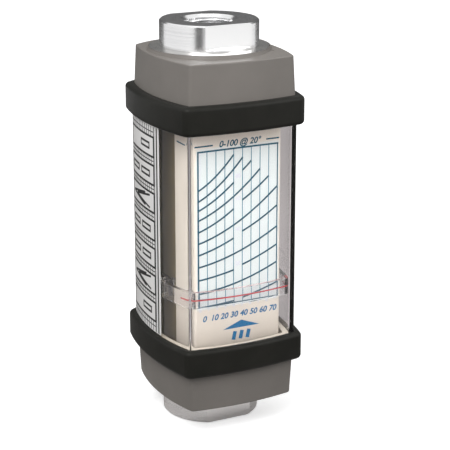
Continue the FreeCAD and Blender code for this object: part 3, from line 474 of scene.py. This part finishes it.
finishes = {
    "casing": turnedFinish("casingMetal", metalLook["casing"]),
    "port": turnedFinish("portMetal", metalLook["port"]),
    "inner": turnedFinish("innerMetal", metalLook["inner"]),
    "stainless": plainMetal("stainlessSteel", metalLook["stainless"]),
    "ringSteel": plainMetal("ringSteel", metalLook["ringSteel"]),
    "magnet": plainMetal("sinteredMagnet", metalLook["magnet"]),
    "cap": mouldedFinish("capPlastic", softLook["cap"]),
    "band": mouldedFinish("bandRubber", softLook["band"]),
    "seal": mouldedFinish("sealRubber", softLook["seal"]),
    "label": mouldedFinish("labelFilm", softLook["label"]),
    "support": mouldedFinish("supportPlastic", softLook["support"]),
    "red": mouldedFinish("linePlastic", softLook["red"]),
    "window": clearFinish("windowPlastic", clearLook["window"]),
    "follower": clearFinish("followerPlastic", clearLook["follower"]),
    "card": cardFinish("scaleCard", cardLook),
}
inks = {name: inkFinish(name + "Ink", look) for name, look in inkLook.items()}

nodeFinish = {
    "casing": "casing", "outlet_port": "port", "port_seal": "seal",
    "inlet_spider": "inner", "outlet_spider": "inner",
    "metering_cone": "stainless", "cone_nut": "stainless", "return_spring": "stainless",
    "lower_retaining_ring": "ringSteel", "upper_retaining_ring": "ringSteel",
    "lower_end_cap": "cap", "upper_end_cap": "cap",
    "lower_body_seal": "seal", "upper_body_seal": "seal",
    "lower_band": "band", "upper_band": "band", "lower_gasket": "seal", "upper_gasket": "seal",
    "window": "window", "wrap_label": "label", "scale_support": "support", "scale_card": "card",
    "follower_ring": "follower", "indicator_line": "red", "follower_magnets": "magnet",
    "piston": "inner", "orifice_plate": "stainless", "transfer_magnet": "magnet",
    "magnet_retainer": "stainless",
}
for node, finish in nodeFinish.items():
    for holder in frame["nodes"][node].material_slots:
        holder.material = finishes[finish]
print("flow meter: finishes on", len(nodeFinish), "solids")


# New pieces

def closePiece(made, name, finish, body):
    mesh = bpy.data.meshes.new(name)
    made.to_mesh(mesh)
    made.free()
    mesh.materials.append(finish)
    piece = bpy.data.objects.new(name, mesh)
    bpy.context.scene.collection.objects.link(piece)
    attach(piece, body)
    return piece


def namedRow(rows, name):  # the record's row with this name
    return next(row for row in rows if row["name"] == name)


threadLook = {
    "bore": namedRow(frame["record"]["mounts"], "inlet_port")["dims"]["r_mm"] * mm,
    "pitch": 1.814 * mm, "depth": 0.3 * mm, "width": 1.5 * mm, "steps": 72, "turns": 9,
    "lead": 1.5 * mm, "chamfer": 0.6 * mm,
}


def makeThread(name, start, rise, body, finish):  # ridges of the port thread, inside its bore
    bore = threadLook["bore"]
    made = bmesh.new()
    half = threadLook["width"] / 2
    corners = [(bore, -half), (bore - threadLook["depth"], 0.0), (bore, half)]
    verts = [made.verts.new((reach, 0.0, start + height)) for reach, height in corners]
    edges = [made.edges.new(pair) for pair in zip(verts, verts[1:] + verts[:1])]
    turns = threadLook["turns"]
    climb = rise * threadLook["pitch"] / threadLook["steps"]
    bmesh.ops.spin(
        made, geom=verts + edges, cent=(0, 0, 0), axis=(0, 0, 1), angle=math.tau * turns,
        steps=threadLook["steps"] * turns, dvec=(0, 0, climb),
    )
    bmesh.ops.holes_fill(made, edges=[edge for edge in made.edges if edge.is_boundary])
    bmesh.ops.recalc_face_normals(made, faces=made.faces)
    for face in made.faces:
        face.smooth = True
    return closePiece(made, name, finish, body)


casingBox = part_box("casing")
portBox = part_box("outlet_port")
lowStart = casingBox[0].z + threadLook["lead"] + threadLook["chamfer"]
highStart = portBox[1].z - threadLook["lead"] - threadLook["chamfer"]
makeThread("inlet_thread", lowStart, 1, "casing", finishes["casing"])
makeThread("outlet_thread", highStart, -1, "casing", finishes["port"])
print("flow meter: port threads")


springLook = {"mergeReach": 0.001 * mm, "sharpAngle": math.radians(40)}


def makeSpring():  # a merged, smooth-shaded copy of the solid spring, shown in its place
    solid = frame["nodes"]["return_spring"]
    made = bmesh.new()
    made.from_mesh(solid.data)
    made.transform(solid.matrix_world)
    bmesh.ops.remove_doubles(made, verts=made.verts, dist=springLook["mergeReach"])
    for face in made.faces:
        face.smooth = True
    for edge in made.edges:
        edge.smooth = edge.calc_face_angle(0.0) < springLook["sharpAngle"]
    spring = closePiece(made, "piston_spring", finishes["stainless"], "casing")
    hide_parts("return_spring")
    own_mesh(spring)


makeSpring()
print("flow meter: piston spring")


# Print is drawn flat, x across and y up, and then laid on the card or the label

printLook = {
    "boldness": 0.03, "slant": 0.25, "curveSteps": 16, "curveFlatness": 0.05,
    "cardLift": 0.03 * mm, "frameLift": 0.04 * mm, "lineLift": 0.05 * mm,
}


def turnRound(made, axis):  # a quarter turn
    turn = Matrix.Rotation(math.pi / 2, 3, axis)
    bmesh.ops.rotate(made, verts=made.verts, cent=(0, 0, 0), matrix=turn)


def drawBar(made, start, end, width, pieces=1):
    along = Vector(end) - Vector(start)
    middle = (Vector(start) + Vector(end)) / 2
    turn = Matrix.Rotation(math.atan2(along.y, along.x), 4, "Z")
    size = Matrix.Diagonal((along.length, width, 1.0, 1.0))
    pose = Matrix.Translation(middle.to_3d()) @ turn @ size
    bmesh.ops.create_grid(made, x_segments=pieces, y_segments=1, size=0.5, matrix=pose)


def flatMesh(curve):
    holder = bpy.data.objects.new("drawing", curve)
    bpy.context.scene.collection.objects.link(holder)
    bpy.context.view_layer.update()
    depsgraph = bpy.context.evaluated_depsgraph_get()
    mesh = bpy.data.meshes.new_from_object(holder.evaluated_get(depsgraph))
    bpy.data.objects.remove(holder)
    return mesh


def drawNumber(made, words, size, place, slant=0.0):
    text = bpy.data.curves.new("number", "FONT")
    text.body = words
    text.size = size
    text.shear = slant
    text.offset = size * printLook["boldness"]
    text.align_x = "CENTER"
    text.align_y = "CENTER"
    mesh = flatMesh(text)
    mesh.transform(Matrix.Translation((place[0], place[1], 0.0)))
    made.from_mesh(mesh)
    bpy.data.meshes.remove(mesh)


def drawCurve(made, start, end, slope, width):  # rises ever more steeply from start to end
    run = end[0] - start[0]
    rise = end[1] - start[1]
    lastSlope = 2 * rise / run - slope
    line = bpy.data.curves.new("line", "CURVE")
    line.dimensions = "2D"
    line.bevel_depth = width / 2
    line.bevel_resolution = 0
    line.resolution_u = printLook["curveSteps"]
    spline = line.splines.new("BEZIER")
    spline.bezier_points.add(1)
    first, last = spline.bezier_points
    first.co = (start[0], start[1], 0.0)
    last.co = (end[0], end[1], 0.0)
    first.handle_left = first.co
    first.handle_right = (start[0] + run / 3, start[1] + slope * run / 3, 0.0)
    last.handle_left = (end[0] - run / 3, end[1] - lastSlope * run / 3, 0.0)
    last.handle_right = last.co
    mesh = flatMesh(line)
    mesh.transform(Matrix.Diagonal((1.0, 1.0, printLook["curveFlatness"], 1.0)))
    made.from_mesh(mesh)
    bpy.data.meshes.remove(mesh)


def layOnCard(made, name, ink, lift=printLook["cardLift"]):
    turnRound(made, "X")
    bmesh.ops.translate(made, verts=made.verts, vec=(0, cardBox[0].y - lift, 0))
    return closePiece(made, name, inks[ink], "guard")


# Chart: nine columns, the middle one kept for its numbers. A line is (start column, start height,
# end column, end height, slope at its start), heights in mm above the inlet's face.

chart = {
    "halfWidth": 17.75, "foot": 55.5, "top": 120.1, "columns": 9,
    "frameWidth": 0.72, "thinShare": 0.7, "ruleWidth": 0.36, "lineWidth": 0.72,
    "lines": [
        (0, 104.3, 4, 117.6, 0.5), (0, 99.9, 5, 116.0, 0.45), (0, 96.1, 4, 106.1, 0.4),
        (0, 92.0, 7, 110.4, 0.34), (0, 87.2, 4, 95.1, 0.3), (0, 82.4, 9, 102.3, 0.23),
        (0, 77.6, 4, 82.8, 0.2), (0, 72.5, 9, 85.3, 0.12), (0, 67.0, 4, 69.3, 0.07),
        (0, 61.5, 9, 70.0, 0.02), (0, 55.6, 4, 56.3, 0.0), (5, 110.7, 6, 114.3, 0.8),
        (5, 98.4, 8, 107.0, 0.58), (5, 85.3, 9, 94.2, 0.42), (5, 71.1, 9, 77.5, 0.3),
        (5, 57.2, 9, 61.6, 0.2),
    ],
    "middleNumbers": [("80", 108.5), ("60", 99.2), ("40", 86.4), ("20", 71.8)],
    "middleSize": 2.3, "columnSize": 1.9, "columnDrop": 1.6, "columnSpread": 0.96,
}


def columnPlace(index):
    return (-chart["halfWidth"] + 2 * chart["halfWidth"] * index / chart["columns"]) * mm


def makeChart():
    reach = chart["halfWidth"] * mm
    foot = chart["foot"] * mm
    top = chart["top"] * mm
    width = chart["frameWidth"] * mm
    thin = width * chart["thinShare"]
    border = bmesh.new()
    drawBar(border, (-reach - width / 2, top), (reach + width / 2, top), width)
    drawBar(border, (-reach - width / 2, foot), (reach + width / 2, foot), thin)
    drawBar(border, (-reach, foot), (-reach, top), width)
    drawBar(border, (reach, foot), (reach, top), thin)
    layOnCard(border, "chart_frame", "teal", printLook["frameLift"])
    rules = bmesh.new()
    for across in map(columnPlace, range(1, chart["columns"])):
        drawBar(rules, (across, foot), (across, top), chart["ruleWidth"] * mm)
    layOnCard(rules, "chart_columns", "rule")
    lines = bmesh.new()
    for first, low, last, high, slope in chart["lines"]:
        start = (columnPlace(first), low * mm)
        end = (columnPlace(last), high * mm)
        drawCurve(lines, start, end, slope, chart["lineWidth"] * mm)
    layOnCard(lines, "chart_lines", "teal", printLook["lineLift"])
    numbers = bmesh.new()
    bare = chart["columns"] // 2
    middle = (columnPlace(bare) + columnPlace(bare + 1)) / 2
    for words, height in chart["middleNumbers"]:
        drawNumber(numbers, words, chart["middleSize"] * mm, (middle, height * mm))
    for index in range(chart["columns"] + 1):
        place = (columnPlace(index) * chart["columnSpread"], foot - chart["columnDrop"] * mm)
        drawNumber(numbers, str(index), chart["columnSize"] * mm, place)
    layOnCard(numbers, "chart_numbers", "faint")


makeChart()

captions = {
    "titleHeight": 122.3, "titleRules": [(-19.2, -11.2), (12.6, 18.4)], "ruleWidth": 0.62,
    "title": "0-100 @ 20\u00b0", "titleSize": 3.5, "titleMiddle": 0.7, "wingRule": (-20.4, -12.6),
    "rowHeight": 50.0, "row": ["0", "10", "20", "30", "40", "50", "60", "70"],
    "rowSize": 3.4, "rowReach": 15.6, "rowMiddle": 0.4,
    "arrowTip": (1.6, 47.2), "arrowBase": 44.0, "arrowReach": 8.4,
    "strokes": [-2.0, 1.2, 4.4], "strokeWidth": 1.7,
    "strokeFoot": 39.0, "strokeTop": 42.6, "strokeSlant": 0.8,
}
triangle = {"height": 1.5, "halfWidth": 0.866}  # with equal sides and corners at a reach of 1


def makeCaptions():
    height = captions["titleHeight"] * mm
    rules = bmesh.new()
    for start, end in captions["titleRules"]:
        drawBar(rules, (start * mm, height), (end * mm, height), captions["ruleWidth"] * mm)
    layOnCard(rules, "title_rules", "teal")
    slant = printLook["slant"]
    title = bmesh.new()
    place = (captions["titleMiddle"] * mm, height)
    drawNumber(title, captions["title"], captions["titleSize"] * mm, place, slant)
    layOnCard(title, "title_numbers", "teal")
    scale = bmesh.new()
    row = captions["row"]
    for index, words in enumerate(row):
        across = captions["rowReach"] * (2 * index / (len(row) - 1) - 1) + captions["rowMiddle"]
        place = (across * mm, captions["rowHeight"] * mm)
        drawNumber(scale, words, captions["rowSize"] * mm, place, slant)
    layOnCard(scale, "scale_numbers", "blue")
    arrow = bmesh.new()
    bmesh.ops.create_circle(arrow, cap_ends=True, segments=3, radius=1.0)
    tipX, tipY = (size * mm for size in captions["arrowTip"])
    base = captions["arrowBase"] * mm
    tallness = (tipY - base) / triangle["height"]
    wideness = captions["arrowReach"] * mm / triangle["halfWidth"]
    bmesh.ops.scale(arrow, verts=arrow.verts, vec=(wideness, tallness, 1.0))
    bmesh.ops.translate(arrow, verts=arrow.verts, vec=(tipX, base + tallness / 2, 0))
    for across in captions["strokes"]:
        start = (across * mm, captions["strokeFoot"] * mm)
        end = ((across + captions["strokeSlant"]) * mm, captions["strokeTop"] * mm)
        drawBar(arrow, start, end, captions["strokeWidth"] * mm)
    layOnCard(arrow, "flow_arrow", "blue")
    wing = bmesh.new()
    start, end = captions["wingRule"]
    drawBar(wing, (start * mm, height), (end * mm, height), captions["ruleWidth"] * mm)
    turnRound(wing, "X")
    turnRound(wing, "Z")
    bmesh.ops.translate(wing, verts=wing.verts, vec=(cardBox[0].x - printLook["cardLift"], 0, 0))
    bmesh.ops.reverse_faces(wing, faces=wing.faces)
    closePiece(wing, "wing_rule", inks["teal"], "guard")


makeCaptions()
print("flow meter: scale printed")


# Label sides: outlined blocks and chevrons over fine stripes. Distances in mm, measured back from
# the axis and up from the inlet's face.

labelPrint = {
    "front": -10.7, "edgeMargin": 0.9, "edgeLine": 1.0, "innerEdge": 2,
    "patternFront": -6.6, "patternBack": 21.0, "patternEnd": 0.3, "endMargin": 2.6,
    "blocks": [1, 0, 2, 2, 0, 2, 1],  # from the foot up: how many slots, or 0 for a chevron
    "blockShare": 0.7, "outline": 0.9, "stripe": 0.42, "stripeStep": 2.2,
    "slotFront": -2.4, "slotLength": 10.0, "slotHeight": 2.2, "slotShare": 0.9, "slotGap": 2.4,
    "chevronReach": 1.6, "chevronMargin": 1.4, "chevronStep": 5,
    "longPieces": 12, "midPieces": 6, "shortPieces": 5, "lift": 0.03, "castFrom": 50,
}


def outlineBox(made, left, right, low, high, width, pieces):
    for height in (low, high):
        drawBar(made, (left - width / 2, height), (right + width / 2, height), width, pieces)
    for across in (left, right):
        drawBar(made, (across, low), (across, high), width)


def drawBlock(made, slots, bottom, top):
    look = labelPrint
    line = look["outline"] * mm
    front = look["patternFront"] * mm
    back = look["patternBack"] * mm
    outlineBox(made, front, back, bottom, top, line, look["longPieces"])
    slotFront = look["slotFront"] * mm
    slotLength = look["slotLength"] * mm
    slotHeight = look["slotHeight"] * mm
    if slots == 0:  # chevron pointing back
        tip = (slotFront + look["chevronReach"] * slotLength, (bottom + top) / 2)
        margin = look["chevronMargin"] * mm
        step = look["chevronStep"] * mm
        for height in (bottom + margin, top - margin):
            drawBar(made, (slotFront, height), tip, line, look["midPieces"])
            drawBar(
                made, (slotFront + step, height), (tip[0] + step, tip[1]), line, look["midPieces"],
            )
    else:  # slots side by side
        slotLow = (bottom + top - slotHeight) / 2
        begins = (slotFront, slotFront + slotLength + look["slotGap"] * mm)
        for begin in begins[:slots]:
            end = begin + slotLength * look["slotShare"]
            outlineBox(
                made, begin, end, slotLow, slotLow + slotHeight, line, look["shortPieces"],
            )


def drawLabelSide(made, low, high):
    look = labelPrint
    front = look["patternFront"] * mm
    back = look["patternBack"] * mm
    stripe = look["stripe"] * mm
    edge = (look["front"] + look["edgeMargin"] + look["edgeLine"] / 2) * mm
    drawBar(made, (edge, low), (edge, high), look["edgeLine"] * mm)
    edge += look["innerEdge"] * mm
    drawBar(made, (edge, low), (edge, high), stripe)
    foot = low + look["endMargin"] * mm
    count = len(look["blocks"])
    step = (high - low - 2 * look["endMargin"] * mm) / count
    block = step * look["blockShare"]
    bottoms = [foot + index * step + (step - block) / 2 for index in range(count)]
    for slots, bottom in zip(look["blocks"], bottoms):
        drawBlock(made, slots, bottom, bottom + block)
    gaps = zip([low] + [bottom + block for bottom in bottoms], bottoms + [high])
    for bottom, top in gaps:
        across = front
        while across < back:
            drawBar(made, (across, bottom), (across, top), stripe)
            across += look["stripeStep"] * mm
        middle = (bottom + top) / 2
        drawBar(made, (front, middle), (back, middle), stripe, look["longPieces"])


def layOnLabel(made, name, side):  # pressed on the film, on the left for -1 and the right for 1
    label = frame["nodes"]["wrap_label"]
    if side < 0:
        bmesh.ops.reverse_faces(made, faces=made.faces)
    for vert in made.verts:
        start = Vector((side * labelPrint["castFrom"] * mm, vert.co.x, vert.co.y))
        found, place, _, _ = label.ray_cast(start, Vector((-side, 0, 0)))
        vert.co = place + Vector((side * labelPrint["lift"] * mm, 0, 0)) if found else start
    return closePiece(made, name, inks["black"], "guard")


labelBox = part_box("wrap_label")
printEnd = labelPrint["patternEnd"] * mm
for side, name in ((-1, "left_label_print"), (1, "right_label_print")):
    printed = bmesh.new()
    drawLabelSide(printed, labelBox[0].z + printEnd, labelBox[1].z - printEnd)
    layOnLabel(printed, name, side)
print("flow meter: label printed")


# Studio

studio = {
    "floorSides": 96, "cardSteps": 24, "matSteps": 64,
    "floorSize": 6.0, "floorDrop": 0.2 * mm, "floorTone": tone(0.92, 0.92, 0.92),
    "floorBounce": tone(0.26, 0.26, 0.26), "floorGlow": (0.42, 0.72), "glowReach": (0.12, 0.7),
    "mirrorGlow": 0.41, "floorShade": 0.985, "paperShade": 0.9,
    "fineGrain": 300.0, "coarseGrain": 6.0, "roughness": 0.9, "specular": 0.1,
    "worldStrength": 0.4, "cardTone": tone(0.13, 0.13, 0.13),
    "lamps": [
        ("keyLamp", (-0.46, -0.39, 0.6), 0.45, 4.8),
        ("fillLamp", (0.42, -0.5, 0.5), 0.5, 2.3),
        ("topLamp", (0.1, 0.25, 0.95), 0.6, 2.1),
    ],
    # dark cards that only metal and gloss show: name, distance, first and last azimuth, foot, top
    "cards": [
        ("frontCard", 0.45, -58.0, -38.0, 0.02, 0.2),
        ("backCard", 0.8, 104.0, 208.0, 0.0, 0.65),
    ],
    # mats round the foot: name, inner and outer reach, tone, and the rays that see them
    "mats": [
        ("innerMat", 0.012, 0.065, tone(0.64, 0.61, 0.59), "glossy"),
        ("outerMat", 0.065, 0.6, tone(0.16, 0.155, 0.145), "glossy"),
        ("clearMat", 0.012, 1.6, tone(0.68, 0.625, 0.645), "transmission"),
    ],
}
cameraView = {
    "azimuth": -26.25, "distance": 0.608, "height": 0.2671,
    "aimRight": 0.0064, "aimHeight": 0.081, "lens": 121.5,
}


def standStage(made, name, material):
    mesh = bpy.data.meshes.new(name)
    made.to_mesh(mesh)
    made.free()
    mesh.materials.append(material)
    prop = bpy.data.objects.new(name, mesh)
    bpy.context.scene.collection.objects.link(prop)
    return prop


def startPaper(name, colour, share):  # a matt paper, mottled down to a share of its colour
    material, tree, surface, place = startFinish(name)
    fine, coarse = studio["fineGrain"], studio["coarseGrain"]
    speck = useGroup(tree, grain, place, Fine=fine, Coarse=coarse)
    dim = tone(*(part * share for part in colour[:3]))
    pale = mixTones(tree, speck.outputs["Mottle"], colour, dim)
    return material, tree, surface, place, pale


def makeFloor():
    material, tree, surface, place, pale = startPaper(
        "paleFloor", studio["floorTone"], studio["floorShade"],
    )
    path = addNode(tree, "ShaderNodeLightPath").outputs
    colour = mixTones(tree, path["Is Diffuse Ray"], pale, studio["floorBounce"])
    feed(tree, surface, Base_Color=colour, Roughness=studio["roughness"])
    surface.inputs["Specular IOR Level"].default_value = studio["specular"]
    surface.inputs["Emission Color"].default_value = tone(1, 1, 1)
    away = addNode(tree, "ShaderNodeVectorMath", operation="LENGTH")
    feed(tree, away, Vector=place)
    glow = spread(
        tree, away.outputs["Value"], *studio["glowReach"], *studio["floorGlow"], smooth=True,
    )
    seen = doMath(tree, "MAXIMUM", path["Is Camera Ray"], path["Is Transmission Ray"])
    seenGlow = doMath(tree, "MULTIPLY", seen, glow)
    mirrored = doMath(tree, "MULTIPLY", path["Is Glossy Ray"], studio["mirrorGlow"])
    feed(tree, surface, Emission_Strength=doMath(tree, "ADD", seenGlow, mirrored))
    made = bmesh.new()
    sides, reach = studio["floorSides"], studio["floorSize"] / 2
    bmesh.ops.create_circle(made, cap_ends=True, segments=sides, radius=reach)
    height = cadBox[0][2] - studio["floorDrop"]
    bmesh.ops.translate(made, verts=made.verts, vec=(0, 0, height))
    standStage(made, "floor", material)


def showOnlyTo(prop, seer):
    for kind in ("camera", "diffuse", "glossy", "transmission", "shadow"):
        setattr(prop, "visible_" + kind, kind == seer)


def paperFinish(name, colour):
    material, tree, surface, _, pale = startPaper(name, colour, studio["paperShade"])
    feed(tree, surface, Base_Color=pale, Roughness=studio["roughness"])
    return material


def sweepPaper(first, last, begin, sweep, steps):  # a line turned about the object's axis
    made = bmesh.new()
    ends = [made.verts.new(place) for place in (first, last)]
    bmesh.ops.spin(
        made, geom=ends + [made.edges.new(ends)], cent=(0, 0, 0), axis=(0, 0, 1), steps=steps,
        angle=sweep, dvec=(0, 0, 0), use_merge=sweep == math.tau,
    )
    turn = Matrix.Rotation(begin, 3, "Z")
    bmesh.ops.rotate(made, verts=made.verts, cent=(0, 0, 0), matrix=turn)
    return made


def makeCards():  # dark cards give the metal its edges, and mats keep glare off the window
    for name, distance, first, last, foot, top in studio["cards"]:
        begin, sweep, steps = math.radians(first), math.radians(last - first), studio["cardSteps"]
        made = sweepPaper((0, -distance, foot), (0, -distance, top), begin, sweep, steps)
        paper = paperFinish(name + "Paper", studio["cardTone"])
        showOnlyTo(standStage(made, name, paper), "glossy")
    ground, steps = cadBox[0][2], studio["matSteps"]
    for name, inner, outer, colour, seer in studio["mats"]:
        made = sweepPaper((inner, 0, ground), (outer, 0, ground), 0.0, math.tau, steps)
        showOnlyTo(standStage(made, name, paperFinish(name + "Paper", colour)), seer)


def makeWorld():  # white to the eye, to metal and to glass, and plainer as light
    world = bpy.data.worlds.new("studio")
    bpy.context.scene.world = world
    world.use_nodes = True
    tree = world.node_tree
    background = tree.nodes["Background"]
    background.inputs["Color"].default_value = tone(1, 1, 1)
    path = addNode(tree, "ShaderNodeLightPath").outputs
    direct = doMath(tree, "MAXIMUM", path["Is Camera Ray"], path["Is Transmission Ray"])
    direct = doMath(tree, "MAXIMUM", direct, path["Is Glossy Ray"])
    strength = spread(tree, direct, 0.0, 1.0, studio["worldStrength"], 1.0)
    tree.links.new(strength, background.inputs["Strength"])


def makeLamps():
    middle = Vector((0, 0, (cadBox[0][2] + cadBox[1][2]) / 2))
    for name, place, size, power in studio["lamps"]:
        lamp = bpy.data.lights.new(name, "AREA")
        lamp.size = size
        lamp.energy = power
        holder = bpy.data.objects.new(name, lamp)
        holder.location = place
        holder.rotation_euler = (middle - Vector(place)).to_track_quat("-Z", "Y").to_euler()
        bpy.context.scene.collection.objects.link(holder)


def makeCamera():
    angle = math.radians(cameraView["azimuth"])
    toward = Vector((math.sin(angle), -math.cos(angle), 0))
    right = Vector((math.cos(angle), math.sin(angle), 0))
    place = toward * cameraView["distance"] + Vector((0, 0, cameraView["height"]))
    aim = right * cameraView["aimRight"] + Vector((0, 0, cameraView["aimHeight"]))
    lens = bpy.data.cameras.new("camera")
    lens.lens = cameraView["lens"]
    camera = bpy.data.objects.new("camera", lens)
    camera.location = place
    camera.rotation_euler = (aim - place).to_track_quat("-Z", "Y").to_euler()
    bpy.context.scene.collection.objects.link(camera)
    bpy.context.scene.camera = camera


makeFloor()
makeCards()
makeWorld()
makeLamps()
makeCamera()
bpy.context.scene.view_settings.view_transform = "Standard"
print("flow meter: studio ready")
